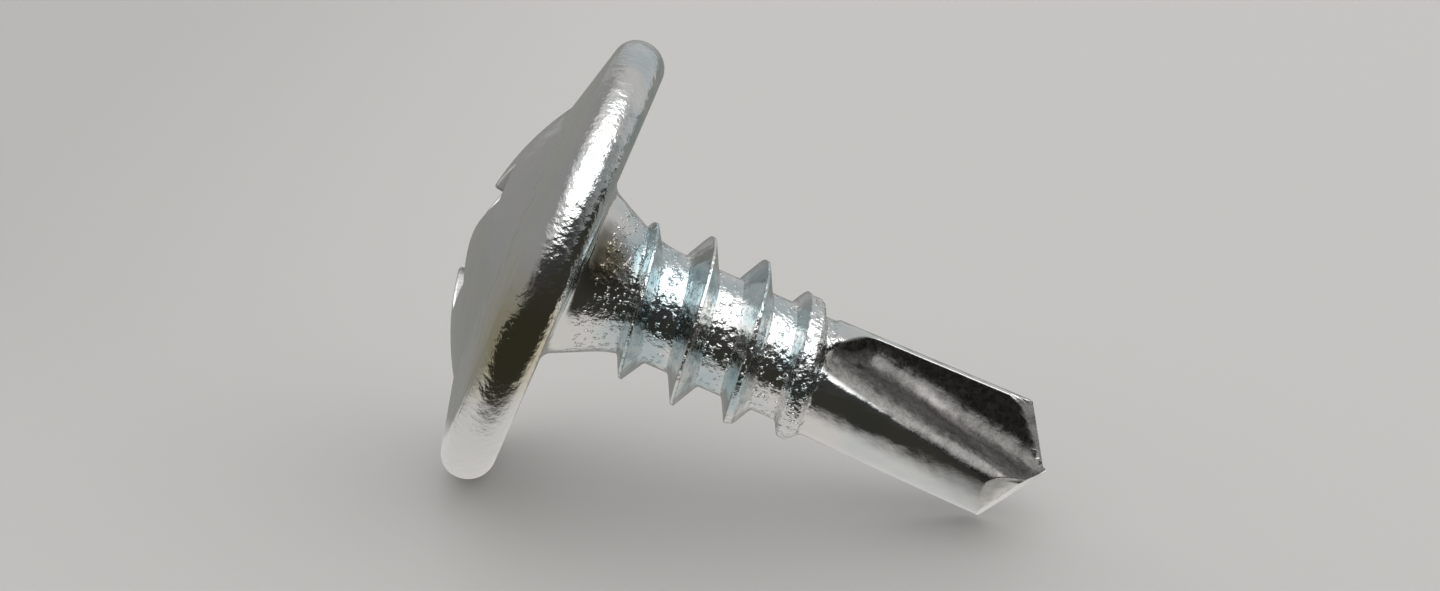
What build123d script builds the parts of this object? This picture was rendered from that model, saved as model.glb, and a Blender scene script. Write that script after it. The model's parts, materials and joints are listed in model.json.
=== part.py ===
"""Self drilling screw with a wafer head, a cross recess and a two-flute drill point.

One forged and rolled piece of steel, plated with zinc. All sizes are millimetres.

The screw is worked out in its own frame first: Z is its axis and runs from the bearing
face under the head (z = 0) to the point, X is the side that lies uppermost at rest, and
angles about Z are counted from X towards Y. At the end it is laid down as it comes to
rest, on the rim of its head and on a corner of its drill point.
"""
from build123d import *
from math import asin, atan2, ceil, cos, degrees, radians, sin, sqrt, tan
import os

# ---- along the axis, from the bearing face ---------------------------------------------
screw_length = 12.34         # bearing face to the chisel edge
neck_length = 1.60           # bearing face to where the neck reaches the root
shank_end = 6.30             # the drill part starts
shank_step = 0.10            # the core widens to the drill part along this much

# ---- head ------------------------------------------------------------------------------
head_diameter = 11.4
head_height = 2.75           # bearing face to the top of the dome
dome_radius = 6.6
dome_diameter = 7.1          # where the dome meets the flange
rim_height = 1.18            # the flange's top over the bearing face, at the full diameter
rim_upper_radius = 0.44
rim_lower_radius = 0.68

# ---- cross recess ----------------------------------------------------------------------
recess_span = 4.4            # across two opposite wings at the top of the dome
recess_wing = 1.3            # width of a wing there
recess_core = 2.1            # diameter of the round core there
recess_depth = 2.6           # top of the dome to the bottom
recess_end_taper = 13.25     # degrees, the outer end of a wing and the core
recess_side_taper = 4.0      # degrees, the sides of a wing
recess_cone = 28.0           # degrees that the bottom falls towards the centre
recess_turn = 34.8           # degrees from X to the first wing

# ---- neck and thread -------------------------------------------------------------------
neck_diameter = 4.35         # at the bearing face, before its fillet
neck_fillet = 0.35
neck_blend = 2.5             # radius between the neck and the root
thread_major = 4.14
thread_root = 2.80
thread_pitch = 1.411         # 18 turns to the inch
thread_angle = 60.0          # degrees between the flanks
thread_crest = 0.10          # flat on the crest
thread_seat = 0.12           # how deep the ridge stands in the core
thread_start = 0.55          # the ridge starts inside the neck
thread_end = 6.55            # the ridge is gone
thread_turn = -196.8         # degrees from X at which the ridge starts
thread_piece = 0.75          # the ridge is swept in pieces of at most this many turns
first_crest = 3.34           # crest diameter at its start, inside the neck
last_crest = 3.48            # crest diameter of the last half turn
full_crest_from = 2.35       # the crest has its full diameter from here
full_crest_to = 4.25         # to here
last_crest_from = 5.50       # the last, lower crest starts here
last_crest_to = 6.20         # and falls to the root from here

# ---- drill point -----------------------------------------------------------------------
drill_turn = -3.5            # degrees from X to the upper lip
drill_start_diameter = 2.92
drill_tip_diameter = 3.13
point_angle = 118.0          # degrees between the two lips
lip_relief = 25.0            # degrees that each flank falls behind its lip
heel_relief = 60.0           # degrees that it falls further back, towards the heel
heel_relief_from = 1.10      # from the axis to the edge between these two, level with the lip
web_half = 0.10              # each rake face stands this far in front of the axis
flute_angle = 112.0          # degrees from the rake face to the floor of a flute
flute_slope = 9.4            # degrees between the root of a flute and the axis
flute_root = 0.075           # from the axis to the root of a flute, at the chisel edge
flute_radius = 0.30          # in the root of a flute
flute_start = 6.17           # where a flute runs out on the outside
runout_angle = 40.0          # degrees between the flute's end wall and the axis
runout_turn = 67.0           # degrees round the axis that this wall faces
runout_radius = 0.18
heel_radius = 0.25           # where the floor of a flute meets the outside
lip_facet = 0.40             # width of the bevel along each lip, at the lip's corner
lip_facet_angle = 25.0

# ---- limits used when faces are told apart ----------------------------------------------
same_direction = 0.999       # cosine between two normals that count as one

# ---- how far a tool reaches past the blank ----------------------------------------------
reach = 1.0


def dome_drop(radius):
    """How far the dome has fallen from its top at this radius."""
    return dome_radius - sqrt(dome_radius**2 - radius**2)


def blank():
    """Turned form of the screw, from the top of the dome to a flat end at the point."""
    rim = head_diameter / 2
    foot = dome_diameter / 2
    root = thread_root / 2
    dome_foot = head_height - dome_drop(foot)
    dome = ThreePointArc(
        (0, -head_height),
        (foot / 2, dome_drop(foot / 2) - head_height),
        (foot, -dome_foot),
    )
    outline = Polyline(
        (foot, -dome_foot),
        (rim, -rim_height),
        (rim, 0),
        (neck_diameter / 2, 0),
        (root, neck_length),
        (root, shank_end - shank_step),
        (drill_start_diameter / 2, shank_end),
        (drill_tip_diameter / 2, screw_length),
        (0, screw_length),
        (0, -head_height),
    )
    profile = make_face(dome + outline)
    rounded = [
        ((rim, -rim_height), rim_upper_radius),
        ((rim, 0), rim_lower_radius),
        ((neck_diameter / 2, 0), neck_fillet),
        ((root, neck_length), neck_blend),
    ]
    for place, radius in rounded:
        corner = profile.vertices().sort_by_distance(Vector(*place, 0))[0]
        profile = fillet(corner, radius)
    return revolve(Plane.XZ * profile, Axis.Z)


def crest_envelope():
    """Turned form that the crest stays inside: lower in the neck and at the drill part.

    Its middle clears the crest, and its end falls to the axis at 45 degrees.
    """
    crest = thread_major / 2
    first = first_crest / 2
    last = last_crest / 2
    clear = crest + thread_crest
    rise = (full_crest_from - thread_start) * (clear - first) / (crest - first)
    fall = (last_crest_from - full_crest_to) * (clear - last) / (crest - last)
    below = thread_start - thread_pitch
    end = last_crest_to + last
    return revolve(
        Plane.XZ
        * make_face(
            Polyline(
                (0, below),
                (first, below),
                (first, thread_start),
                (clear, thread_start + rise),
                (clear, last_crest_from - fall),
                (last, last_crest_from),
                (last, last_crest_to),
                (0, end),
                (0, below),
            )
        ),
        Axis.Z,
    )


def thread_pieces():
    """Right-hand ridge of the thread, as short helical sweeps end to end."""
    crest = thread_major / 2
    seat = thread_root / 2 - thread_seat
    half_crest = thread_crest / 2
    half_seat = half_crest + (crest - seat) * tan(radians(thread_angle / 2))
    section = Plane.XZ * make_face(
        Polyline(
            (seat, -half_seat),
            (crest, -half_crest),
            (crest, half_crest),
            (seat, half_seat),
            (seat, -half_seat),
        )
    )
    turns = (thread_end - thread_start) / thread_pitch
    count = ceil(turns / thread_piece)
    piece_turns = turns / count
    piece = sweep(section, path=Helix(thread_pitch, piece_turns * thread_pitch, crest), is_frenet=True)
    envelope = crest_envelope()
    pieces = []
    for step in range(count):
        rise = thread_start + step * piece_turns * thread_pitch
        turn = thread_turn + step * piece_turns * 360
        pieces.append((Pos(0, 0, rise) * Rot(0, 0, turn) * piece) & envelope)
    return pieces


def half_space(point, normal, size):
    """A block that starts at a plane through the point and lies on its normal's side."""
    return Plane(origin=point, z_dir=normal) * Box(
        size, size, size, align=(Align.CENTER, Align.CENTER, Align.MIN)
    )


def flute():
    """What is left empty in front of the upper rake face, as far as its rounded end wall."""
    size = 2 * drill_tip_diameter
    floor_turn = radians(flute_angle)
    slant = tan(radians(flute_slope))
    sector = make_face(
        Polyline(
            (0, 0),
            (size, 0),
            (size, size),
            (size * cos(floor_turn), size * sin(floor_turn)),
            (0, 0),
        )
    )
    corner = sector.vertices().sort_by_distance(Vector(0, 0, 0))[0]
    sector = fillet(corner, flute_radius)
    top = screw_length + reach
    sector = Pos(flute_root - reach * slant, web_half, top) * sector
    depth = (top - flute_start + size) / cos(radians(flute_slope))
    channel = extrude(sector, amount=depth, dir=(slant, 0, -1))
    outside = drill_start_diameter / 2
    facing = radians(runout_turn)
    lean = radians(90 - runout_angle)
    normal = Vector(sin(lean) * cos(facing), sin(lean) * sin(facing), cos(lean))
    foot = Vector(outside * cos(facing), outside * sin(facing), flute_start)
    channel -= half_space(foot, -normal, 4 * size)
    wall = channel.faces().filter_by(lambda face: face.normal_at().dot(-normal) > same_direction)[0]
    root_end = wall.vertices().sort_by(Axis.Z)[-1].center()
    inner = wall.edges().sort_by_distance(root_end)[:3]
    return fillet(inner, runout_radius)


def lip_bevel():
    """What the bevel along the upper lip takes off: nothing at the axis, most at the corner."""
    half_point = radians(point_angle / 2)
    lip_length = drill_tip_diameter / 2 / sin(half_point)
    turned = half_point + atan2(lip_facet, lip_length)
    along = Vector(sin(turned), 0, -cos(turned))
    across = Vector(cos(turned), 0, sin(turned))
    tilt = radians(lip_facet_angle)
    normal = Vector(0, cos(tilt), 0) + across * sin(tilt)
    lip_start = Vector(0, web_half, screw_length + web_half * tan(radians(lip_relief)))
    size = drill_tip_diameter
    block = Box(size, size, size, align=(Align.MIN, Align.MAX, Align.MIN))
    return Plane(origin=lip_start, x_dir=along, z_dir=normal) * block


def point_cuts():
    """What lies above the upper wing's flank: its part behind the lip, and the steeper heel."""
    slope_out = 1 / tan(radians(point_angle / 2))
    slope_back = tan(radians(lip_relief))
    slope_heel = tan(radians(heel_relief))
    edge = Vector(0, -heel_relief_from, screw_length - heel_relief_from * slope_back)
    size = 4 * drill_tip_diameter
    behind_lip = half_space(Vector(0, 0, screw_length), Vector(slope_out, -slope_back, 1), size)
    heel = half_space(edge, Vector(slope_out, -slope_heel, 1), size)
    return behind_lip, heel


def wing(turn):
    """Two opposite wings of the recess: a slab that narrows downwards at ends and sides."""
    top = head_height + reach
    end_fall = tan(radians(recess_end_taper))
    side_fall = tan(radians(recess_side_taper))
    sections = []
    for depth in (-reach, recess_depth):
        span = recess_span - 2 * depth * end_fall
        width = recess_wing - 2 * depth * side_fall
        sections.append(Pos(0, 0, depth - head_height) * Rectangle(span, width).face())
    return Rot(0, 0, recess_turn + turn) * loft(sections)


def recess():
    """The cross recess, open above the dome, with a cone for its bottom."""
    end_fall = tan(radians(recess_end_taper))
    core_top = recess_core / 2 + reach * end_fall
    core_bottom = recess_core / 2 - recess_depth * end_fall
    core_height = reach + recess_depth
    core = Pos(0, 0, -head_height - reach) * Cone(
        core_top, core_bottom, core_height, align=(Align.CENTER, Align.CENTER, Align.MIN)
    )
    cross = wing(0) + wing(90) + core
    outer = recess_span
    bottom = Plane.XZ * make_face(
        Polyline(
            (0, recess_depth - head_height),
            (outer, recess_depth - head_height - outer * tan(radians(recess_cone))),
            (outer, -head_height - 2 * reach),
            (0, -head_height - 2 * reach),
            (0, recess_depth - head_height),
        )
    )
    return cross & revolve(bottom, Axis.Z)


def rest_tilt():
    """Degrees that the point hangs below level, with the rim and a lip's corner on the floor.

    The bevel brings the corner back to where the plain cone of the point would have it.
    """
    half_point = radians(point_angle / 2)
    rim_centre = head_diameter / 2 - rim_lower_radius
    corner_radius = drill_tip_diameter / 2
    corner_height = screw_length - corner_radius / tan(half_point)
    apart = corner_height + rim_lower_radius
    wider = rim_centre - corner_radius
    return degrees(atan2(wider, apart) + asin(rim_lower_radius / sqrt(apart**2 + wider**2)))


def screw():
    """The whole screw in its own frame."""
    body = blank()
    for piece in thread_pieces():
        body += piece
    wings = [Rot(0, 0, drill_turn + turn) for turn in (0, 180)]
    for turned in wings:
        body -= turned * flute()
    heels = body.edges().filter_by(GeomType.ELLIPSE).sort_by(SortBy.LENGTH)[-2:]
    body = fillet(heels, heel_radius)
    for turned in wings:
        for cut in (*point_cuts(), lip_bevel()):
            body -= turned * cut
    return body - recess()


def lay_down(body):
    """Point along +X and down, its uppermost side up, lowest point at z = 0."""
    tilt = radians(rest_tilt())
    down = Vector(cos(tilt), 0, -sin(tilt))
    up = Vector(sin(tilt), 0, cos(tilt))
    body = Plane(origin=(0, 0, 0), x_dir=up, z_dir=down) * body
    box = body.bounding_box()
    middle = box.center()
    return Pos(-middle.X, -middle.Y, -box.min.Z) * body


if __name__ == "__main__":
    os.makedirs("parts", exist_ok=True)
    export_step(lay_down(screw()), "parts/screw.step")
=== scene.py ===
"""Self drilling screw with a wafer head, as it lies on a pale floor under soft studio light.

The surface functions work in millimetres and in the screw's own frame: s runs along its axis
from the bearing face (s = 0) to the point, u points to the side that lies uppermost at rest,
w is square to both, and angles are counted from u towards w. A size group called d holds every
length in millimetres and every angle in radians.
"""

import json
from math import atan, atan2, ceil, cos, pi, radians, sin, sqrt, tan
from types import SimpleNamespace

import bpy
import numpy as np
from bpy.props import FloatProperty, IntProperty, PointerProperty, StringProperty
from mathutils import Matrix, Vector


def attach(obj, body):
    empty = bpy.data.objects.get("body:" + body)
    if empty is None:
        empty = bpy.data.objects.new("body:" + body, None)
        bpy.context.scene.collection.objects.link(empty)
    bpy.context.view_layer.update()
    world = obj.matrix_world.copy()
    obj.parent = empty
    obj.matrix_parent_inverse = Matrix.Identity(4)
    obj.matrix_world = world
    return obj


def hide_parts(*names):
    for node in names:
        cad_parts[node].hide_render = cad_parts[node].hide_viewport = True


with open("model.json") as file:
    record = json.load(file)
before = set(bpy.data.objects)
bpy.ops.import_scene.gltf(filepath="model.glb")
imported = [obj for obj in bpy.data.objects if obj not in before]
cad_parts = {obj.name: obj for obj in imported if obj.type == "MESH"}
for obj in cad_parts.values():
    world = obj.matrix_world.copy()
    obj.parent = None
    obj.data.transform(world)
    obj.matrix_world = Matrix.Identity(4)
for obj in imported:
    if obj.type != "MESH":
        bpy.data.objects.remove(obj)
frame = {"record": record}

bl_info = {
    "name": "Self drilling screw",
    "version": (1, 0, 0),
    "blender": (4, 5, 0),
    "location": "3D View > Sidebar > Screw",
    "description": "Builds a wafer head self drilling screw, its zinc plating and a small studio",
    "category": "Add Mesh",
}


# ---- sizes and colours that a user would change ----------------------------------------------

def length(name, millimetres, description):
    """A length property, given here in millimetres."""
    return FloatProperty(
        name=name, description=description, default=millimetres / 1000, unit="LENGTH", precision=5
    )


def angle(name, degrees, description):
    """An angle property, given here in degrees."""
    return FloatProperty(
        name=name, description=description, default=radians(degrees),
        unit="ROTATION", subtype="ANGLE",
    )


def amount(name, value, description):
    """A plain number."""
    return FloatProperty(name=name, description=description, default=value)


def colour(name, code, description):
    """A colour as an sRGB hex code."""
    return StringProperty(name=name, description=description, default=code)


class HeadSizes(bpy.types.PropertyGroup):
    """Sizes of the wafer head and its cross recess."""

    head_diameter: length("Head diameter", 11.396, "Across the rim")
    head_height: length("Head height", 2.746, "Bearing face to the top of the dome")
    dome_radius: length("Dome radius", 6.6, "Radius of the dome's curve")
    dome_diameter: length("Dome diameter", 7.1, "Where the dome meets the flange")
    rim_height: length("Rim height", 1.18, "The flange's top over the bearing face, at the rim")
    rim_upper_radius: length("Upper rim radius", 0.60, "Between the flange's top and the rim")
    rim_lower_radius: length("Lower rim radius", 0.68, "Between the rim and the bearing face")
    recess_span: length("Recess span", 4.4, "Across two opposite wings at the top of the dome")
    recess_wing: length("Wing width", 1.3, "Width of a wing of the recess at the top of the dome")
    recess_core: length("Recess core", 2.1, "Round middle of the recess at the top of the dome")
    recess_depth: length("Recess depth", 2.6, "Top of the dome to the recess's bottom")
    recess_end_taper: angle("Wing end taper", 13.25, "Lean of the outer end of a wing")
    recess_side_taper: angle("Wing side taper", 4.0, "Lean of a wing's sides")
    recess_cone: angle("Recess cone", 28.0, "Fall of the recess's bottom towards the centre")
    recess_turn: angle("Recess turn", 34.8, "From the uppermost side to the first wing")
    recess_edge: length("Recess edge", 0.07, "Rounding where the recess breaks through the dome")


class ShankSizes(bpy.types.PropertyGroup):
    """Sizes of the neck and the thread."""

    neck_length: length("Neck length", 1.60, "Bearing face to where the neck reaches the root")
    neck_diameter: length("Neck diameter", 4.35, "At the bearing face, before its fillet")
    neck_fillet: length("Neck fillet", 0.35, "Between the bearing face and the neck")
    neck_blend: length("Neck blend", 2.5, "Radius between the neck and the root")
    thread_major: length("Major diameter", 4.14, "Across the crests")
    thread_root: length("Root diameter", 2.80, "Core between the crests")
    thread_pitch: length("Pitch", 1.411, "Crest to crest, 18 turns to the inch")
    thread_crest: length("Crest flat", 0.07, "Flat on the crest")
    thread_angle: angle("Thread angle", 54.0, "Between the two flanks")
    thread_start: length("Thread start", 0.55, "Where the ridge starts, inside the neck")
    thread_end: length("Thread end", 6.55, "Where the ridge is gone")
    thread_turn: angle("Thread turn", -196.8, "From the uppermost side to where the ridge starts")
    first_crest: length("First crest", 3.34, "Crest diameter at its start")
    last_crest: length("Last crest", 3.48, "Crest diameter of the last half turn")
    full_crest_from: length("Full crest from", 2.35, "The crest has its full diameter from here")
    full_crest_to: length("Full crest to", 4.25, "The crest has its full diameter to here")
    last_crest_from: length("Last crest from", 5.50, "The last, lower crest starts here")
    last_crest_to: length("Last crest to", 6.20, "The last crest falls to the root from here")
    crest_round: length("Crest rounding", 0.015, "Rounding of the rolled crest")
    root_round: length("Root rounding", 0.08, "Rounding between a flank and the root")


class PointSizes(bpy.types.PropertyGroup):
    """Sizes of the drill point."""

    screw_length: length("Screw length", 12.320, "Bearing face to the chisel edge")
    shank_end: length("Shank end", 6.30, "The drill part starts here")
    shank_step: length("Shank step", 0.10, "The core widens to the drill part along this much")
    drill_start_diameter: length("Drill start diameter", 2.92, "Drill part beside the thread")
    drill_tip_diameter: length("Drill tip diameter", 3.13, "Drill part at the chisel edge")
    drill_turn: angle("Drill turn", -3.5, "From the uppermost side to the upper lip")
    point_angle: angle("Point angle", 118.0, "Between the two lips")
    lip_relief: angle("Lip relief", 25.0, "Fall of each flank behind its lip")
    heel_relief: angle("Heel relief", 60.0, "Fall of each flank at its heel")
    heel_relief_from: length("Heel relief from", 1.10, "From the axis to the edge between the two")
    web_half: length("Half web", 0.10, "Each rake face stands this far in front of the axis")
    flute_angle: angle("Flute angle", 101.0, "From the rake face to the floor of a flute")
    flute_slope: angle("Flute slope", 9.4, "Between the root of a flute and the axis")
    flute_root: length("Flute root", 0.075, "From the axis to a flute's root at the chisel edge")
    flute_radius: length("Flute radius", 0.50, "In the root of a flute")
    flute_start: length("Flute start", 6.17, "Where a flute runs out on the outside")
    runout_angle: angle("Run-out angle", 40.0, "Between the flute's end wall and the axis")
    runout_turn: angle("Run-out turn", 67.0, "The way round the axis that this wall faces")
    runout_radius: length("Run-out radius", 0.18, "Where the end wall meets the flute")
    heel_radius: length("Heel radius", 0.42, "Where the floor of a flute meets the outside")
    lip_facet: length("Lip facet", 0.40, "Width of the bevel along each lip, at its corner")
    lip_facet_angle: angle("Lip facet angle", 34.0, "Lean of this bevel")
    edge_round: length("Edge rounding", 0.03, "Thickness of the plating's rounding on cut edges")


class PlatingLook(bpy.types.PropertyGroup):
    """Colours and surface of the zinc plating."""

    zinc: colour("Zinc", "#E7E6E4", "Bright zinc plating")
    zinc_blue: colour("Blue tint", "#C7D5D8", "Where the plating looks blue")
    zinc_yellow: colour("Straw tint", "#D6CDB2", "Where the plating looks straw yellow")
    # olive tint, darkened as painted shade, in the corner of the neck
    zinc_olive: colour("Olive tint", "#958D7A", "Thicker passivation in the corner of the neck")
    # Painted shade: the flutes and the recess are drawn dark, mottled by scuffs; the pale colour is
    # their scuffs and painted highlights.
    flute_dark: colour("Flute, dark", "#5B5A57", "Scuffed plating in the flutes and the recess")
    flute_pale: colour("Flute, pale", "#B0ADAB", "Where it is rubbed bright")
    ground: colour("Ground facets", "#FBFAF6", "Facets of the drill point")
    roughness: amount("Roughness", 0.09, "Gloss of the plating")
    pit_depth: length("Pit depth", 0.06, "Height of the forging's waves and pits")


class StudioLook(bpy.types.PropertyGroup):
    """Floor, light and camera."""

    floor: colour("Floor", "#C5C3C0", "Pale card under the screw")
    floor_left: colour("Floor, far left", "#B7B6B3", "Where the card is shaded")
    # Painted reflection: an even glow that the plating mirrors instead of the card, pale below,
    # dark in front and grey further out, though the card itself is pale there.
    floor_under: colour("Floor below", "#D2D0CD", "What the plating mirrors of it right below")
    floor_front: colour("Floor in front", "#35342F", "What the plating mirrors of it in front")
    floor_away: colour("Floor far out", "#8D8D89", "What the plating mirrors of it further out")
    room_light: amount("Room light", 0.955, "Light from all round on matt surfaces")
    room_low: amount("Room light, low", 1.8, "How much of it comes in level")
    room_top: amount("Room light, high", 0.6, "How much of it comes from overhead")
    room_behind: amount("Room light, behind", 0.6, "How much more of it comes from behind")
    softbox: amount("Softbox", 2.1, "The mirrored softbox, overhead and to the camera's right")
    ceiling: amount("Ceiling", 0.68, "The mirrored ceiling round the softbox")
    front_wall: amount("Front wall", 0.042, "The mirrored room at the camera's side")
    back_wall: amount("Back wall", 0.28, "The mirrored walls at the sides and behind")
    lamp_wall: amount("Lit wall", 0.25, "How much brighter the wall behind and to the right is")
    camera_azimuth: angle("Camera azimuth", 3.223, "Round the screw, from its side")
    camera_elevation: angle("Camera elevation", 18.0, "Above the floor")
    camera_roll: angle("Camera roll", 4.579, "Lean of the picture")
    camera_distance: length("Camera distance", 69.99, "From the point it looks at")
    camera_along: length("Aim along", -0.911, "The point it looks at, along the screw")
    camera_height: length("Aim height", 4.934, "The point it looks at, over the floor")
    camera_lens: length("Lens", 72.635, "Focal length on a 36 mm sensor")


def millimetres(*groups):
    """Every size in these groups by name, lengths in millimetres and angles in radians."""
    sizes = SimpleNamespace()
    for group in groups:
        for name in type(group).__annotations__:
            value = getattr(group, name)
            is_length = group.bl_rna.properties[name].unit == "LENGTH"
            setattr(sizes, name, value * 1000 if is_length else value)
    return sizes


# ---- joining curves --------------------------------------------------------------------------

def rise(value, low, high):
    """How far value has gone from low to high, from 0 to 1. High may be the smaller one."""
    return np.clip((value - low) / (high - low), 0, 1)


def soft_min(a, b, width):
    """The smaller of a and b, with a parabola of this width where they meet."""
    blend = np.maximum(width - np.abs(a - b), 0) / width
    return np.minimum(a, b) - blend**2 * width / 4


def soft_max(a, b, width):
    """The larger of a and b, with a parabola of this width where they meet."""
    return -soft_min(-a, -b, width)


def round_min(a, b, radius):
    """The smaller of two distances, with a circular arc of this radius in their corner.

    Inside the corner's square it is radius minus the distance to the arc's centre.
    """
    reach = np.hypot(np.maximum(radius - a, 0), np.maximum(radius - b, 0))
    return np.maximum(radius, np.minimum(a, b)) - reach


def halve(above, low, high, times=34):
    """Where above(x) turns from true to false between low and high, by halving the gap."""
    for _ in range(times):
        middle = (low + high) / 2
        keep = above(middle)
        low = np.where(keep, middle, low)
        high = np.where(keep, high, middle)
    return (low + high) / 2


def corner_arc(before, corner, after, radius, steps):
    """Points of the arc that rounds a corner, tangent to the lines before and after it.

    Its centre lies between the two lines, at the radius over the sine of half their angle.
    """
    back = np.subtract(before, corner) / np.hypot(*np.subtract(before, corner))
    ahead = np.subtract(after, corner) / np.hypot(*np.subtract(after, corner))
    half = np.arccos(back @ ahead) / 2
    centre = corner + (back + ahead) / np.hypot(*(back + ahead)) * radius / sin(half)
    first = corner + back * radius / tan(half) - centre
    last = corner + ahead * radius / tan(half) - centre
    sweep = atan2(first[0] * last[1] - first[1] * last[0], first @ last)
    turn = atan2(first[1], first[0]) + np.linspace(0, sweep, steps + 1)
    return centre + radius * np.stack([np.cos(turn), np.sin(turn)], -1)


def ring(radius, s, phi):
    """Points (radius cos phi, radius sin phi, s), broadcast to rows of columns."""
    radius, s, phi = np.broadcast_arrays(radius, s, phi)
    return np.stack([radius * np.cos(phi), radius * np.sin(phi), s], -1)


def spread(phi, points, columns, even=0.0):
    """Angles of columns at equal steps along each row of dense points, ends included.

    The length along a row is the running sum of its chords; even adds that share of a plain
    angular spacing.
    """
    steps = np.linalg.norm(np.diff(points, axis=1), axis=2)
    steps = steps + even * steps.mean(axis=1, keepdims=True)
    run = np.concatenate([np.zeros((len(steps), 1)), np.cumsum(steps, axis=1)], axis=1)
    share = np.linspace(0, 1, columns + 1)
    return np.stack([np.interp(share * r[-1], r, p) for r, p in zip(run, phi)])


def both_halves(phi):
    """Angles of one half turn, repeated half a turn on, without the doubled ends."""
    return np.concatenate([phi[..., :-1], phi[..., :-1] + pi], axis=-1)


# ---- the shank's form ------------------------------------------------------------------------

def core_radius(d, s):
    """Radius of the screw without its thread, at s past the bearing face.

    A fillet, then the neck's cone, then an arc to the straight root, then a short step up to
    the drill part, which widens evenly to the point.
    """
    neck = d.neck_diameter / 2
    root = d.thread_root / 2
    lean = atan((neck - root) / d.neck_length)
    blend = d.neck_blend * tan(lean / 2)
    cone = neck - tan(lean) * s
    arc_end = d.neck_length + blend
    arc = root + d.neck_blend - np.sqrt(np.maximum(d.neck_blend**2 - (arc_end - s) ** 2, 0))
    radius = np.where(s < d.neck_length - blend * cos(lean), cone, np.where(s < arc_end, arc, root))
    tangent = d.neck_fillet / tan((pi / 2 + lean) / 2)
    fillet_arc = np.sqrt(np.maximum(d.neck_fillet**2 - (s - d.neck_fillet) ** 2, 0))
    radius = np.where(s < tangent * cos(lean), neck + tangent - fillet_arc, radius)
    step = rise(s, d.shank_end - d.shank_step, d.shank_end)
    drill = d.drill_start_diameter / 2
    radius = radius + np.where(step > 0, step * (drill - root), 0)
    widening = (d.drill_tip_diameter / 2 - drill) / (d.screw_length - d.shank_end)
    return radius + np.maximum(s - d.shank_end, 0) * widening


def crest_radius(d, s):
    """Radius of the crest at s: rising in the neck, full, then a lower last half turn."""
    first, full, last = d.first_crest / 2, d.thread_major / 2, d.last_crest / 2
    places = [
        d.thread_start, d.full_crest_from, d.full_crest_to,
        d.last_crest_from, d.last_crest_to, d.last_crest_to + last,
    ]
    return np.interp(s, places, [first, full, full, last, last, 0])


def shank_radius(d, s, phi):
    """Radius of the core with its thread, at s and angle phi.

    The ridge nearest to s is the whole turn k for which start + pitch * (turns + k) is
    closest. Off that line its flanks fall at half the thread angle from a flat crest. Where
    the crest starts low, in the neck, the ridge is a narrower one; where it ends low, a cut one.
    """
    turns = (phi - d.thread_turn) / (2 * pi)
    nearest = np.round((s - d.thread_start) / d.thread_pitch - turns)
    first = np.ceil(-turns - 1e-9)
    last = np.floor((d.thread_end - d.thread_start) / d.thread_pitch - turns + 1e-9)
    ridge = np.clip(nearest, first, last)
    off = np.abs(s - d.thread_start - d.thread_pitch * (turns + ridge))
    crest = crest_radius(d, s)
    apex = np.where(s < d.full_crest_from, crest, d.thread_major / 2)
    flank = apex - (off - d.thread_crest / 2) / tan(d.thread_angle / 2)
    ridge_radius = soft_min(flank, crest, d.crest_round)
    return soft_max(core_radius(d, s), ridge_radius, d.root_round)


# ---- the drill point's form ------------------------------------------------------------------

def flute_depth(d, u, w, s, bevelled=True):
    """How far a place lies inside the empty flute in front of the upper lip, at u.

    It is the smallest distance to the rake face, the flute's sloping floor and its end wall,
    with arcs in their corners, or, where bevelled, the distance past the bevel along the lip.
    """
    rake = w - d.web_half
    slant = tan(d.flute_slope)
    across, up = sin(d.flute_angle), -cos(d.flute_angle)
    root = u - d.flute_root - (d.screw_length - s) * slant
    floor = (root * across + rake * up) / sqrt(1 + (slant * across) ** 2)
    lean = pi / 2 - d.runout_angle
    facing = np.array([sin(lean) * cos(d.runout_turn), sin(lean) * sin(d.runout_turn), cos(lean)])
    outside = d.drill_start_diameter / 2
    foot = np.array([outside * cos(d.runout_turn), outside * sin(d.runout_turn), d.flute_start])
    wall = u * facing[0] + w * facing[1] + s * facing[2] - foot @ facing
    channel = round_min(round_min(rake, floor, d.flute_radius), wall, d.runout_radius)
    if not bevelled:
        return channel
    half_point = d.point_angle / 2
    turned = half_point - atan2(d.lip_facet, d.drill_tip_diameter / 2 / sin(half_point))
    lip_height = d.screw_length + d.web_half * tan(d.lip_relief)
    behind = u * cos(turned) + (s - lip_height) * sin(turned)
    bevel = rake * cos(d.lip_facet_angle) + behind * sin(d.lip_facet_angle)
    own_wing = behind * cos(d.lip_facet_angle) - rake * sin(d.lip_facet_angle)
    outward = u * sin(turned) - (s - lip_height) * cos(turned)
    return np.maximum(channel, np.minimum(bevel, np.minimum(own_wing, outward)))


def skin_gap(d, radius, phi, s, outer):
    """Distance from a place inside the screw to the nearest flute or the outside.

    Where a flute's floor meets the outside, the heel, the corner has the heel's radius. At
    the other corners it has that of the plating's edge. The heel's radius is full from 55 to 130
    degrees past a lip.
    """
    turned = phi - d.drill_turn
    u, w = radius * np.cos(turned), radius * np.sin(turned)
    flutes = np.minimum(-flute_depth(d, u, w, s), -flute_depth(d, -u, -w, s))
    half_turn = np.degrees(np.mod(turned, pi))
    near_heel = rise(half_turn, 25, 55)
    near_heel = near_heel**2 * (3 - 2 * near_heel) * rise(half_turn, 150, 130)
    rounding = d.edge_round + (d.heel_radius - d.edge_round) * near_heel
    return round_min(flutes, outer - radius, rounding)


def skin_radius(d, s, phi):
    """Radius of the screw with its thread and flutes, found from the axis outwards."""
    outer = shank_radius(d, s, phi)
    low = np.full(outer.shape, 1e-4)
    return halve(lambda r: skin_gap(d, r, phi, s, outer) > 0, low, outer + 1e-6)


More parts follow.
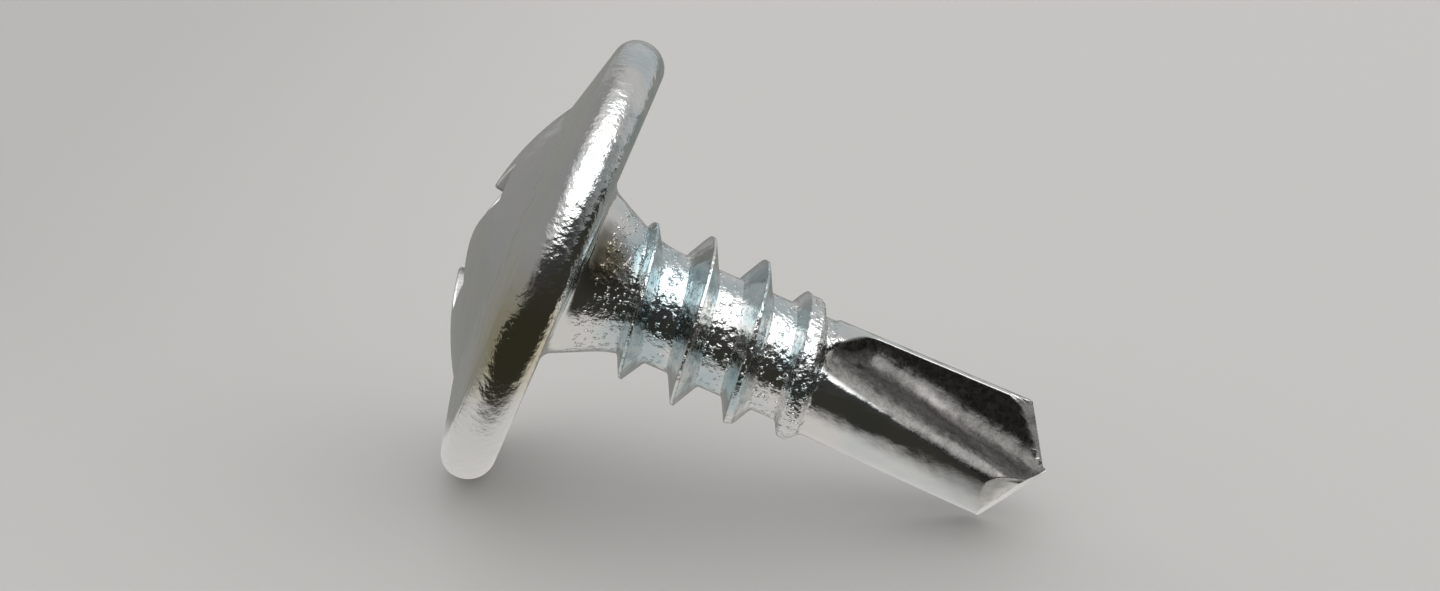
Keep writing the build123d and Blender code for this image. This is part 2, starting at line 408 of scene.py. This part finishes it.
def point_height(d, u, w):
    """Height s of the point's end at (u, w): the lowest of four planes.

    Each wing has a flank that falls outwards by the point angle and backwards by the lip's
    relief, and a steeper one at its heel. They meet in the chisel edge.
    """
    outwards = (u * cos(d.drill_turn) + w * sin(d.drill_turn)) / tan(d.point_angle / 2)
    behind = w * cos(d.drill_turn) - u * sin(d.drill_turn)
    back = behind * tan(d.lip_relief)
    heel = behind * tan(d.heel_relief)
    raised = d.heel_relief_from * (tan(d.heel_relief) - tan(d.lip_relief))
    behind_lips = -np.abs(outwards - back)
    heels = raised - np.abs(outwards - heel)
    return d.screw_length + np.minimum(behind_lips, heels)


def margin_angle(d, s):
    """Angle of the corner between the land and the rake face with its bevel, at s."""
    radius = core_radius(d, s) - 1e-3
    no_outside = np.full(np.shape(s), 50.0)
    either_side = radians(12)
    low = np.full(np.shape(s), d.drill_turn - either_side)

    def in_metal(phi):
        return skin_gap(d, radius, phi, s, no_outside) > 0

    return halve(in_metal, low, low + 2 * either_side, 26)


# ---- rows of the skin, from the bottom of the recess to the chisel edge ----------------------

def dome_drop(d, radius):
    """How far the dome has fallen from its top at this radius: the sagitta of its circle."""
    return d.dome_radius - np.sqrt(d.dome_radius**2 - radius**2)


WING_CORNER, WING_FOOT = 0.15, 0.25     # widths of the parabolas in the recess's corners, in mm


def recess_reach(d, phi, depth):
    """Distance from the axis to the recess's wall, at an angle and a depth.

    Each wing is a slab: its reach is the smaller of half its span over the cosine and half its
    width over the sine of the angle from its middle. The core is a circle. Both shrink with
    depth by their tapers. Parabolas round the wings' outer corners and where they leave the core.
    """
    end = d.recess_span / 2 - depth * tan(d.recess_end_taper)
    side = d.recess_wing / 2 - depth * tan(d.recess_side_taper)
    reach = d.recess_core / 2 - depth * tan(d.recess_end_taper)
    for turn in (0, pi / 2):
        off = phi - d.recess_turn - turn
        to_end = end / np.maximum(np.abs(np.cos(off)), 1e-6)
        to_side = side / np.maximum(np.abs(np.sin(off)), 1e-6)
        reach = soft_max(reach, soft_min(to_end, to_side, WING_CORNER), WING_FOOT)
    return reach


def recess_rows(d, dense, columns):
    """Rows of the recess from its bottom up to its rounded edge in the dome.

    The wall starts where its reach meets the bottom's cone and ends where it meets the dome,
    both found by repeated steps. The edge is a parabola from the wall to the dome.
    """
    def top_depth(phi):
        depth = np.zeros(phi.shape)
        for _ in range(30):
            depth = dome_drop(d, recess_reach(d, phi, depth))
        return depth

    reach = recess_reach(d, dense, top_depth(dense))
    phi = both_halves(spread(dense[None], ring(reach, 0, dense)[None], columns // 2)[0])
    top = top_depth(phi)
    bottom = np.full(phi.shape, d.recess_depth)
    for _ in range(60):
        bottom = (bottom + d.recess_depth - recess_reach(d, phi, bottom) * tan(d.recess_cone)) / 2
    share = np.linspace(0, 1, 6, endpoint=False)[:, None]
    floor_radius = recess_reach(d, phi, bottom) * share
    floor_depth = d.recess_depth - floor_radius * tan(d.recess_cone)
    floor = ring(floor_radius, floor_depth - d.head_height, phi)
    share = np.linspace(0, 1, 9, endpoint=False)[:, None]
    depth = bottom + (top + d.recess_edge - bottom) * share
    wall = ring(recess_reach(d, phi, depth), depth - d.head_height, phi)
    share = np.array([0.0, 0.33, 0.67, 1.0])[:, None]
    edge_in = recess_reach(d, phi, top + d.recess_edge)
    corner = recess_reach(d, phi, top)
    edge_out = corner + d.recess_edge
    near, middle, far = (1 - share) ** 2, 2 * share * (1 - share), share**2
    edge_radius = near * edge_in + middle * corner + far * edge_out
    edge_depth = near * (top + d.recess_edge) + middle * top + far * dome_drop(d, edge_out)
    edge = ring(edge_radius, edge_depth - d.head_height, phi)
    return np.concatenate([floor, wall, edge]), phi, edge_out


def head_rows(d, phi, recess_phi, recess_edge):
    """Rows of the dome, the flange's top, the rim, the bearing face and the neck's fillet.

    The dome's rows pass from the recess's edge to its foot. The rest is one profile of straight
    lines and arcs, turned round the axis.
    """
    foot, rim = d.dome_diameter / 2, d.head_diameter / 2
    share = np.linspace(0, 1, 18)[1:, None]
    radius = recess_edge + (foot - recess_edge) * share
    turned = recess_phi + (phi - recess_phi) * share
    dome = ring(radius, dome_drop(d, radius) - d.head_height, turned)
    dome_foot = (foot, dome_drop(d, foot) - d.head_height)
    flange, under, neck = (rim, -d.rim_height), (rim, 0.0), (d.neck_diameter / 2, 0.0)
    upper = corner_arc(dome_foot, flange, under, d.rim_upper_radius, 14)
    lower = corner_arc(flange, under, neck, d.rim_lower_radius, 12)
    lean = atan((d.neck_diameter - d.thread_root) / 2 / d.neck_length)
    fillet = corner_arc(under, neck, (neck[0] - sin(lean), cos(lean)), d.neck_fillet, 8)
    top = dome_foot + (upper[0] - dome_foot) * np.array([0.04, 0.2, 0.4, 0.6, 0.8])[:, None]
    face = lower[-1] + (fillet[0] - lower[-1]) * np.array([0.25, 0.5, 0.75])[:, None]
    path = np.concatenate([top, upper, lower, face, fillet])
    return np.concatenate([dome, ring(path[:, :1], path[:, 1:], phi)]), fillet[-1][1]


# how far the rows beside a crest stand from it, in mm, and how many there are in one pitch
THREAD_OFF = (0.0, 0.03, 0.043, 0.06, 0.1, 0.16, 0.22, 0.28, 0.34, 0.4, 0.48, 0.58)
THREAD_ROWS = 2 * len(THREAD_OFF)


def thread_rows(d, phi, begin, end):
    """Rows that follow the helix, closest together at the crest, between two flat circles.

    Row i passes angle phi at s = offset + its place beside a crest + pitch * turns, held between
    begin and end. After a whole turn it goes on as the row THREAD_ROWS further.
    """
    off = np.array(THREAD_OFF)
    beside = np.concatenate([off, [d.thread_pitch / 2], d.thread_pitch - off[:0:-1]])
    offset = d.thread_start + d.thread_pitch * (phi[0] - d.thread_turn) / (2 * pi)
    offset -= ceil((offset - begin) / d.thread_pitch) * d.thread_pitch
    count = ceil((end - offset) / d.thread_pitch * THREAD_ROWS) + THREAD_ROWS
    row = np.arange(1 - THREAD_ROWS, count)[:, None]
    turns = row // THREAD_ROWS + (phi - phi[0]) / (2 * pi)
    s = offset + beside[row % THREAD_ROWS] + d.thread_pitch * turns
    s = s[(s.max(axis=1) > begin) & (s.min(axis=1) < end)]
    s = np.clip(s, begin, end)
    s = np.concatenate([s, np.full((1, len(phi)), end)])
    return ring(shank_radius(d, s, phi), s, phi)


DRILL_FROM = 6.08                   # the drill part's level rows start here, in mm
DRILL_ZONES = (6.75, 7.5, 10.85)    # and up to each of these
DRILL_STEPS = (0.045, 0.06, 0.17)   # they stand this far apart
# how much of the way from the last level row to the point's end each leaning row goes
DRILL_LIFT = (0.2, 0.4, 0.55, 0.68, 0.78, 0.86, 0.92, 0.96, 0.985, 1.0)


def drill_rows(d, columns):
    """Rows of the drill part: level ones, then ones that lean to follow the point's end.

    In each row the first column stands on the corner of the land. The others pass from equal
    angles at the first row to nearly equal steps along the outline 0.9 mm on.
    """
    zones = (DRILL_FROM, *DRILL_ZONES)
    level_end = zones[-1]
    level = np.concatenate([
        np.arange(low, high, step) for low, high, step in zip(zones, DRILL_ZONES, DRILL_STEPS)
    ])[1:]
    lift = np.array(DRILL_LIFT)
    share = np.concatenate([np.zeros(len(level)), lift])[:, None]
    base = np.concatenate([level, np.full(len(lift), level_end)])[:, None]

    def place(phi):
        """Radius and s of a row's points; a leaning row ends on the point's end."""
        leaning = phi[-len(lift):]

        def below_end(s):
            radius = skin_radius(d, s, leaning)
            return point_height(d, radius * np.cos(leaning), radius * np.sin(leaning)) > s

        lowest = np.full(leaning.shape, level_end - 0.4)
        end = halve(below_end, lowest, np.full(leaning.shape, d.screw_length), 20)
        end = np.concatenate([np.full((len(level), phi.shape[1]), level_end), end])
        s = base + (end - level_end) * share
        return skin_radius(d, s, phi), s

    def below_corner(s):
        phi = margin_angle(d, s)
        radius = core_radius(d, s)
        return point_height(d, radius * np.cos(phi), radius * np.sin(phi)) > s

    corner = halve(below_corner, np.full(1, level_end), np.full(1, d.screw_length), 30)
    margin = margin_angle(d, base + (corner - level_end) * share)
    # dense angles of a half turn, densest on both sides of the lands' corners
    beside = np.linspace(0, 0.3, 150), pi - np.linspace(0, 0.1, 50)
    dense = margin + np.unique(np.concatenate([np.linspace(0, pi, 700), *beside]))
    radius, s = place(dense)
    along = spread(dense, ring(radius, s, dense), columns // 2, even=0.15)
    plain = margin + np.linspace(0, pi, columns // 2 + 1)
    phi = both_halves(plain + (along - plain) * rise(base, DRILL_FROM, DRILL_FROM + 0.9))
    radius, s = place(phi)
    return ring(radius, s, phi)


def cap_rows(d, last):
    """Rows over the point's end: the last row drawn in towards the axis, at the end's height."""
    share = np.array([0.985, 0.9, 0.75, 0.6, 0.45, 0.3, 0.15])[:, None]
    u, w = last[:, 0] * share, last[:, 1] * share
    return np.stack([u, w, point_height(d, u, w)], -1)


def screw_rows(d, columns):
    """All rows of the screw's skin, and the row that each one goes on as after a whole turn."""
    beside_thread = np.array([d.shank_end + 0.3])
    start = float(margin_angle(d, beside_thread)[0])
    phi = both_halves(start + np.linspace(0, pi, columns // 2 + 1))
    dense = start + np.linspace(0, pi, 4001)
    recess, recess_phi, recess_edge = recess_rows(d, dense, columns)
    head, neck_begin = head_rows(d, phi, recess_phi, recess_edge)
    thread = thread_rows(d, phi, neck_begin, DRILL_FROM)
    drill = drill_rows(d, columns)
    rows = np.concatenate([recess, head, thread, drill, cap_rows(d, drill[-1])])
    goes_on = np.arange(len(rows))
    before = len(recess) + len(head)
    last = before + len(thread) - 1
    goes_on[before:last] = np.minimum(goes_on[before:last] + THREAD_ROWS, last)
    return rows, goes_on


# ---- from rows to a mesh ---------------------------------------------------------------------

def laid_down(points):
    """Points of the screw's own frame, in metres where the screw lies.

    The record's mount on the bearing face stands beside the axis, which lies in the plane y = 0,
    and faces the point.
    """
    mounts = {mount["name"]: mount for mount in frame["record"]["mounts"]}
    face = mounts["bearing_face"]
    along = np.array(face["axis"])
    along /= np.linalg.norm(along)
    across = np.array([0.0, -1.0, 0.0])
    up = np.cross(across, along)
    origin = np.array(face["pos_m"]) * (1, 0, 1)
    return origin + points @ np.stack([up, across, along]) / 1000


def welded(rows, goes_on):
    """Vertices and faces of a closed skin: two triangles between neighbours, and a fan at the tip.

    The last column joins the first one at the row that goes_on names. Points that fall
    together are one vertex, and faces that have shrunk to a line are left out.
    """
    count, columns = rows.shape[:2]
    points = rows.reshape(-1, 3)
    row, column = np.meshgrid(np.arange(count - 1), np.arange(columns), indexing="ij")
    after = (column + 1) % columns
    near = np.where(after == 0, goes_on[row], row)
    far = np.where(after == 0, goes_on[row + 1], row + 1)
    corners = ((row, column), (near, after), (far, after), (row + 1, column))
    quads = np.stack([down * columns + along for down, along in corners], -1).reshape(-1, 4)
    tip = len(points)
    points = np.vstack([points, [[0.0, 0.0, rows[-1][:, 2].max()]]])
    last = (count - 1) * columns + np.arange(columns)
    fan = np.stack([last, np.roll(last, -1), np.full(columns, tip)], -1)
    _, keep, same = np.unique(np.round(points, 6), axis=0, return_index=True, return_inverse=True)
    same = same.reshape(-1)
    triangles = np.concatenate([quads[:, [0, 1, 2]], quads[:, [0, 2, 3]], fan])
    triangles = same[triangles]
    distinct = (triangles != np.roll(triangles, 1, axis=1)).all(axis=1)
    return points[keep], triangles[distinct]


def flute_highlight_bands(across, s):
    """How far a flute is lit by painted highlight at s, this far across from the plane of the axis
    and the lips.

    It is the most of three bands of painted highlight: the flute's root, a streak that leaves it
    towards the point with the profile of a bell curve, and the heel.
    """
    root = 0.35 * (across < 0.14)
    middle = 0.20 + 0.23 * (s - 8.65) + 0.9 * rise(s, 10.5, 11.5)
    streak = 0.40 * np.exp(-(((across - middle) / 0.13) ** 2)) * rise(s, 8.2, 9.0)
    heel_from = 1.28 - 0.3 * rise(s, 9.5, 11.0)
    heel = 0.15 * rise(across, heel_from, heel_from + 0.12)
    return np.maximum(np.maximum(root, streak), heel)


# dull: the rougher flutes and recess, painted dark as shade; pale: painted highlight on them
SHARES = ("dull", "pale", "ground", "pitted")   # the attributes that surface_shares gives
RECESS_PALE = 0.55                              # how far the recess's painted shade is lightened
SMOOTH_PITTED, RIM_PITTED = 0.12, 0.7           # how pitted the dome and flange are, and the rim
FLANK_SMOOTHED = 0.8                            # how much of the pits rolling took off the flanks
KNOB_PITTED, KNOB_AT, KNOB_REACH = 1.5, 6.0, 0.35   # the thread's rough run-out


def surface_shares(d, points):
    """For each point how far it is dull, how pale there, ground, and pitted, from 0 to 1.

    The recess and the flutes lie below the outside; they are rougher and painted dark as shade,
    and pale lightens them: painted highlights in the flutes, a lighter shade in the recess. The
    point's end and the bevels along the lips are ground: a bevel stands behind where the flute
    would be without it. The neck and the thread are pitted most, then the rim, and the rest is
    nearly smooth. The flanks of the full thread are smoother.
    """
    u, w, s = points.T
    turned = np.arctan2(w, u) - d.drill_turn
    radius = np.hypot(u, w)
    below = shank_radius(d, s, turned + d.drill_turn) - radius
    ground = point_height(d, u, w) - s < 1e-3
    for side in (1, -1):
        along, out = side * radius * np.cos(turned), side * radius * np.sin(turned)
        bevel = (flute_depth(d, along, out, s, bevelled=False) < -0.012) & (along > 0.3)
        ground |= bevel & (below > 0.03) & (s > d.screw_length - 1.6)
    flute = rise(below, 0.001, 0.031) * (s > 5.9) * ~ground
    in_dome = s + d.head_height - dome_drop(d, np.minimum(radius, d.recess_span / 2 + 0.1))
    recess = rise(in_dome, 0.03, 0.08) * (radius < d.recess_span / 2 + 0.05) * (s < -0.2)
    # pale: bands of painted highlight in the flutes, and a lighter painted shade in the recess
    pale = np.where(s < 0, RECESS_PALE, flute_highlight_bands(radius * np.abs(np.sin(turned)), s))
    core, crest = core_radius(d, s), crest_radius(d, s)
    flank = rise(radius, core + 0.05, core + 0.15) * rise(radius, crest, crest - 0.04) * (s > 1.5)
    shank = rise(s, 0.2, 0.5) * rise(s, 6.5, 6.1) * (1 - FLANK_SMOOTHED * flank)
    rim = RIM_PITTED * rise(radius, 4.9, 5.3) * (s > -d.rim_height)
    knob = KNOB_PITTED * np.exp(-(((s - KNOB_AT) / KNOB_REACH) ** 2)) * (below < 0.05)
    pitted = np.maximum(np.maximum(shank, rim), SMOOTH_PITTED) + knob
    return flute + recess, pale, ground * 1.0, pitted


# ---- nodes -----------------------------------------------------------------------------------

def linear(code):
    """An sRGB hex code as linear red, green, blue and 1."""
    parts = [int(code[place:place + 2], 16) / 255 for place in (1, 3, 5)]
    parts = [part / 12.92 if part <= 0.04045 else ((part + 0.055) / 1.055) ** 2.4 for part in parts]
    return (*parts, 1.0)


def add(tree, kind, inputs=None, **settings):
    """A new shader node of this kind, with its own settings and its inputs' values or links.

    A node given for an input is linked from the first of its outputs that is in use.
    """
    node = tree.nodes.new("ShaderNode" + kind)
    for name, value in settings.items():
        setattr(node, name, value)
    for name, value in (inputs or {}).items():
        if isinstance(value, bpy.types.Node):
            value = next(output for output in value.outputs if output.enabled)
        if isinstance(value, bpy.types.NodeSocket):
            tree.links.new(value, node.inputs[name])
        else:
            node.inputs[name].default_value = value
    return node


def empty_tree(owner):
    """The shader nodes of a new material or world, with none in them yet."""
    owner.use_nodes = True
    owner.node_tree.nodes.clear()
    return owner.node_tree


def per_mm(size):
    """The texture scale, in turns a metre, of a pattern with features of this many millimetres."""
    return 1000 / size


PATTERNS = {    # features' width in millimetres, then the noise's detail, roughness and distortion
    "clouds": (1.6, 2.0, 0.5, 0.0),     # passivation
    "scuffs": (0.17, 6.0, 0.85, 0.4),   # in the flutes and the recess
    "waves": (0.55, 1.0, 0.5, 0.0),     # left by the forging
    "pits": (0.15, 2.0, 0.5, 0.0),      # drawn coarser than the real ones, so that they show
    "specks": (0.15, 1.0, 0.5, 0.0),    # deeper and scarcer pits
    "grain": (0.06, 2.0, 0.5, 0.0),     # of the plating, drawn coarser too
}
STAINS = (      # middle and reach in metres: straw on the rim, olive tint and painted shade in the neck's corner
    ((-0.00525, -0.0056, 0.00535), 0.0020, "zinc_yellow"),
    ((-0.00347, -0.00165, 0.00605), 0.00095, "zinc_olive"),
)


def zinc_plating(look):
    """Bright zinc, electroplated on cold forged and rolled steel.

    The plating is nearly a mirror. The forging under it is pitted, most on the neck and the
    rolled thread, so bright sparks and dark specks break the edges of what it mirrors. Its
    passivation makes faint blue clouds, mostly on the shank, and a straw stain on the rim; a dark
    olive tint in the corner of the neck is partly its colour and partly painted shade. The flutes
    and the recess are scuffed, rougher and mottled, painted dark as shade, with painted highlights
    in the flutes, and fine grinding marks soften the point's facets.
    """
    material = bpy.data.materials.new("zinc_plating")
    tree = empty_tree(material)
    place = add(tree, "TexCoord").outputs["Object"]
    dull, pale, ground, pitted = (
        add(tree, "Attribute", attribute_name=name).outputs["Fac"] for name in SHARES
    )
    noise = {
        name: add(tree, "TexNoise", {
            "Vector": place, "Scale": per_mm(size),
            "Detail": detail, "Roughness": roughness, "Distortion": distortion,
        }) for name, (size, detail, roughness, distortion) in PATTERNS.items()
    }

    # colour: clouds on the shank, then the stains, the scuffs with the painted shade and
    # highlights of the flutes and the recess, and the ground facets
    along = add(tree, "SeparateXYZ", {"Vector": place}).outputs["X"]
    clouds = add(tree, "MapRange", {"Value": noise["clouds"], "From Min": 0.42, "From Max": 0.60})
    past_head = {"From Min": -0.0042, "From Max": -0.0028, "To Min": 0.15, "To Max": 1.0}
    past_thread = {"From Min": 0.0010, "From Max": 0.0024, "To Min": 1.0, "To Max": 0.35}
    for fade in (past_head, past_thread):
        fade = add(tree, "MapRange", {"Value": along, **fade})
        clouds = add(tree, "Math", {0: clouds, 1: fade}, operation="MULTIPLY")
    layers = [(clouds, linear(look.zinc_blue))]
    for middle, reach, name in STAINS:
        away = add(tree, "VectorMath", {0: place, 1: middle}, operation="DISTANCE")
        away = add(tree, "Math", {0: noise["clouds"], 1: reach, 2: away}, operation="MULTIPLY_ADD")
        stain = add(tree, "MapRange", {
            "Value": away, "From Min": 1.5 * reach, "From Max": 0.8 * reach,
        })
        layers.append((stain, linear(getattr(look, name))))
    # scuff mottling, lifted by the painted highlight of the flutes and the recess
    scuffs_and_highlight = add(tree, "MapRange", {
        "Value": noise["scuffs"], "From Min": 0.36, "From Max": 0.66,
        "To Min": -0.15, "To Max": 0.35,
    })
    scuffs_and_highlight = add(tree, "Math", {0: scuffs_and_highlight, 1: pale}, operation="ADD")
    flute = add(tree, "Mix", {
        "Factor": scuffs_and_highlight, "A": linear(look.flute_dark), "B": linear(look.flute_pale),
    }, data_type="RGBA")
    layers += [(dull, flute), (ground, linear(look.ground))]
    tint = linear(look.zinc)
    for share, colour_over in layers:
        tint = add(tree, "Mix", {"Factor": share, "A": tint, "B": colour_over}, data_type="RGBA")

    # relief: each pattern's share of the pits' depth; the specks only where it is pitted most
    pits = add(tree, "Math", {0: noise["pits"], 1: pitted}, operation="MULTIPLY")
    specks = add(tree, "MapRange", {"Value": noise["specks"], "From Min": 0.60, "From Max": 0.68})
    most = add(tree, "MapRange", {"Value": pitted, "From Min": 0.7, "From Max": 1.2})
    specks = add(tree, "Math", {0: specks, 1: most}, operation="MULTIPLY")
    height = 0.0
    relief = ((noise["waves"], 0.7), (pits, 0.55), (specks, 0.8), (noise["grain"], 0.05))
    for pattern, share in relief:
        height = add(tree, "Math", {0: pattern, 1: share, 2: height}, operation="MULTIPLY_ADD")
    bump = add(tree, "Bump", {"Height": height, "Strength": 1.0, "Distance": look.pit_depth})

    # roughness: the grain varies it, and scuffs and grinding add to it
    roughness = add(tree, "MapRange", {
        "Value": noise["grain"], "From Min": 0.3, "From Max": 0.7,
        "To Min": look.roughness - 0.04, "To Max": look.roughness + 0.06,
    })
    scuffed = add(tree, "MapRange", {
        "Value": noise["scuffs"], "From Min": 0.35, "From Max": 0.65,
        "To Min": 0.10, "To Max": 0.30,
    })
    for share, more in ((dull, scuffed), (ground, 0.14)):
        roughness = add(tree, "Math", {0: share, 1: more, 2: roughness}, operation="MULTIPLY_ADD")
    shader = add(tree, "BsdfPrincipled", {
        "Base Color": tint, "Metallic": 1.0, "Roughness": roughness, "Normal": bump,
    })
    add(tree, "OutputMaterial", {"Surface": shader})
    return material


def pale_card(look):
    """Matt pale card, with painted shade a little at the far left.

    A mirror ray that has met no matt surface before sees a painted reflection, an even glow
    that is no lamp: pale beside the screw, dark in front of a line that comes nearer towards the
    point, and grey further out. Every other ray sees the card itself, with its shadows.
    """
    material = bpy.data.materials.new("matt_card")
    tree = empty_tree(material)
    place = add(tree, "TexCoord").outputs["Object"]
    parts = add(tree, "SeparateXYZ", {"Vector": place})
    across_line = add(tree, "VectorMath", {0: place, 1: (-0.39, 1.0, 0.0)}, operation="DOT_PRODUCT")
    away = add(tree, "VectorMath", {0: place}, operation="LENGTH")
    ramps = (                                   # in metres, from none to all
        (parts.outputs["X"], -0.006, -0.028),   # to the left
        (parts.outputs["Y"], -0.010, 0.012),    # to the far side
        (away, 0.009, 0.022),                   # away from the screw
        (parts.outputs["Y"], 0.0006, 0.0035),   # behind the screw
        (across_line, -0.0023, -0.0058),        # in front of the line
    )
    left, far, out, behind, front = (
        add(tree, "MapRange", {
            "Value": value, "From Min": low, "From Max": high,
        }, interpolation_type="SMOOTHSTEP") for value, low, high in ramps
    )
    corner = add(tree, "Math", {0: left, 1: far}, operation="MULTIPLY")
    out = add(tree, "Math", {0: out, 1: behind}, operation="MAXIMUM")
    shade = add(tree, "Mix", {
        "Factor": corner, "A": linear(look.floor), "B": linear(look.floor_left),
    }, data_type="RGBA")
    # painted reflection, seen only by mirror rays
    drawn = linear(look.floor_under)
    for share, tone in ((out, look.floor_away), (front, look.floor_front)):
        drawn = add(tree, "Mix", {"Factor": share, "A": drawn, "B": linear(tone)}, data_type="RGBA")
    path = add(tree, "LightPath").outputs
    first = add(tree, "Math", {0: path["Diffuse Depth"], 1: 0.5}, operation="LESS_THAN")
    in_mirror = add(tree, "Math", {0: path["Is Glossy Ray"], 1: first}, operation="MULTIPLY")
    card = add(tree, "BsdfPrincipled", {
        "Base Color": shade, "Roughness": 0.6, "Specular IOR Level": 0.2,
    })
    drawing = add(tree, "Emission", {"Color": drawn})
    surface = add(tree, "MixShader", {0: in_mirror, 1: card, 2: drawing})
    add(tree, "OutputMaterial", {"Surface": surface})
    return material


def studio_world(look):
    """Light from all round for matt surfaces, and what the plating mirrors.

    The mirrored studio is a pale ceiling with a bright softbox in it, up to the camera's right, a
    dark room in front, where the camera stands, and grey walls at the sides and behind. Each
    fades in between two cosines of the angle from its middle. The camera sees the floor's colour.
    """
    world = bpy.data.worlds.new("studio")
    tree = empty_tree(world)
    way = add(tree, "TexCoord").outputs["Generated"]
    fades = (   # middle, the two cosines, the levels there, and how it fades
        ((0.12, -0.24, 0.96), 0.56, 0.82, 0.0, 1.0, "SMOOTHSTEP"),      # ceiling
        ((0.27, -0.34, 0.90), 0.775, 0.89, 0.0, 1.0, "SMOOTHSTEP"),     # softbox
        ((-0.29, 0.96, 0.0), -0.95, -0.35, look.front_wall, look.back_wall, "SMOOTHSTEP"),
        ((0.5, 1.0, 0.3), 0.65, 1.0, 0.0, look.lamp_wall, "LINEAR"),    # behind and to the right
    )
    ceiling, softbox, walls, right_behind = (
        add(tree, "MapRange", {
            "Value": add(tree, "VectorMath", {0: way, 1: middle}, operation="DOT_PRODUCT"),
            "From Min": low, "From Max": high, "To Min": dim, "To Max": bright,
        }, interpolation_type=fade) for middle, low, high, dim, bright, fade in fades
    )
    walls = add(tree, "Math", {0: walls, 1: right_behind}, operation="ADD")
    under = add(tree, "Mix", {"Factor": ceiling, "A": walls, "B": look.ceiling})
    mirrored = add(tree, "Mix", {"Factor": softbox, "A": under, "B": look.softbox})
    parts = add(tree, "SeparateXYZ", {"Vector": way}).outputs
    room = add(tree, "MapRange", {
        "Value": parts["Z"],
        "To Min": look.room_light * look.room_low, "To Max": look.room_light * look.room_top,
    })
    behind = add(tree, "Math", {
        0: parts["Y"], 1: look.room_behind, 2: 1.0,
    }, operation="MULTIPLY_ADD")
    room = add(tree, "Math", {0: room, 1: behind}, operation="MULTIPLY")
    path = add(tree, "LightPath").outputs
    level = add(tree, "Mix", {"Factor": path["Is Glossy Ray"], "A": room, "B": mirrored})
    level = add(tree, "Mix", {"Factor": path["Is Camera Ray"], "A": level, "B": 1.0})
    tone = add(tree, "Mix", {
        "Factor": path["Is Camera Ray"], "A": (1, 1, 1, 1), "B": linear(look.floor),
    }, data_type="RGBA")
    light = add(tree, "Background", {"Color": tone, "Strength": level})
    add(tree, "OutputWorld", {"Surface": light})
    return world


# ---- operators -------------------------------------------------------------------------------

SHARP_ANGLE = radians(38)       # faces that turn by more meet in a sharp edge
FLOOR_HALF = 1.5                # half the floor's side, in metres
SENSOR = 36.0                   # the sensor's width, in mm


class BuildScrew(bpy.types.Operator):
    """Build the plated screw: head, recess, neck, thread and drill point in one skin"""

    bl_idname = "screw.build_screw"
    bl_label = "Build screw"
    bl_options = {"REGISTER", "UNDO"}

    columns: IntProperty(name="Columns", description="Points around the screw", default=384, min=96)

    def execute(self, context):
        scene = context.scene
        d = millimetres(scene.screw_head, scene.screw_shank, scene.screw_point)
        points, faces = welded(*screw_rows(d, self.columns))
        mesh = bpy.data.meshes.new("plated_screw")
        mesh.from_pydata(laid_down(points), [], faces.tolist())
        for name, share in zip(SHARES, surface_shares(d, points)):
            mesh.attributes.new(name, "FLOAT", "POINT").data.foreach_set("value", share)
        mesh.shade_smooth()
        mesh.set_sharp_from_angle(angle=SHARP_ANGLE)
        mesh.materials.append(zinc_plating(scene.screw_plating))
        piece = bpy.data.objects.new("plated_screw", mesh)
        scene.collection.objects.link(piece)
        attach(piece, "root")
        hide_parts("screw")
        return {"FINISHED"}


class BuildStudio(bpy.types.Operator):
    """Build the floor, the studio's light and the camera"""

    bl_idname = "screw.build_studio"
    bl_label = "Build studio"
    bl_options = {"REGISTER", "UNDO"}

    def execute(self, context):
        scene = context.scene
        look = scene.screw_studio
        mesh = bpy.data.meshes.new("floor")
        half = FLOOR_HALF
        corners = [(-half, -half, 0), (half, -half, 0), (half, half, 0), (-half, half, 0)]
        mesh.from_pydata(corners, [], [(0, 1, 2, 3)])
        mesh.materials.append(pale_card(look))
        floor = bpy.data.objects.new("floor", mesh)
        scene.collection.objects.link(floor)
        scene.world = studio_world(look)
        camera = bpy.data.cameras.new("camera")
        camera.sensor_width = SENSOR
        camera.lens = look.camera_lens * 1000
        camera.clip_start = 0.001
        camera.clip_end = 10.0
        stand = bpy.data.objects.new("camera", camera)
        scene.collection.objects.link(stand)
        turn, lift, roll = look.camera_azimuth, look.camera_elevation, look.camera_roll
        away = Vector((sin(turn) * cos(lift), -cos(turn) * cos(lift), sin(lift)))
        level = Vector((cos(turn), sin(turn), 0))
        upright = away.cross(level)
        right = level * cos(roll) + upright * sin(roll)
        up = upright * cos(roll) - level * sin(roll)
        aim = Vector((look.camera_along, 0, look.camera_height))
        axes = Matrix((right, up, away)).transposed().to_4x4()
        stand.matrix_world = Matrix.Translation(aim + away * look.camera_distance) @ axes
        scene.camera = stand
        scene.view_settings.view_transform = "Standard"
        return {"FINISHED"}


class ScrewPanel(bpy.types.Panel):
    """Sizes, colours and buttons"""

    bl_idname = "VIEW3D_PT_self_drilling_screw"
    bl_label = "Self drilling screw"
    bl_space_type = "VIEW_3D"
    bl_region_type = "UI"
    bl_category = "Screw"

    def draw(self, context):
        scene = context.scene
        for group in GROUPS:
            box = self.layout.box()
            for name in group.__annotations__:
                box.prop(getattr(scene, GROUPS[group]), name)
        for operator in (BuildScrew, BuildStudio):
            self.layout.operator(operator.bl_idname)


GROUPS = {
    HeadSizes: "screw_head",
    ShankSizes: "screw_shank",
    PointSizes: "screw_point",
    PlatingLook: "screw_plating",
    StudioLook: "screw_studio",
}
CLASSES = (*GROUPS, BuildScrew, BuildStudio, ScrewPanel)


def register():
    for kind in CLASSES:
        bpy.utils.register_class(kind)
    for group, name in GROUPS.items():
        setattr(bpy.types.Scene, name, PointerProperty(type=group))


def unregister():
    for name in GROUPS.values():
        delattr(bpy.types.Scene, name)
    for kind in reversed(CLASSES):
        bpy.utils.unregister_class(kind)


def main():
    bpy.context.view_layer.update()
    register()
    bpy.ops.screw.build_screw()
    bpy.ops.screw.build_studio()


if __name__ == "__main__":
    main()
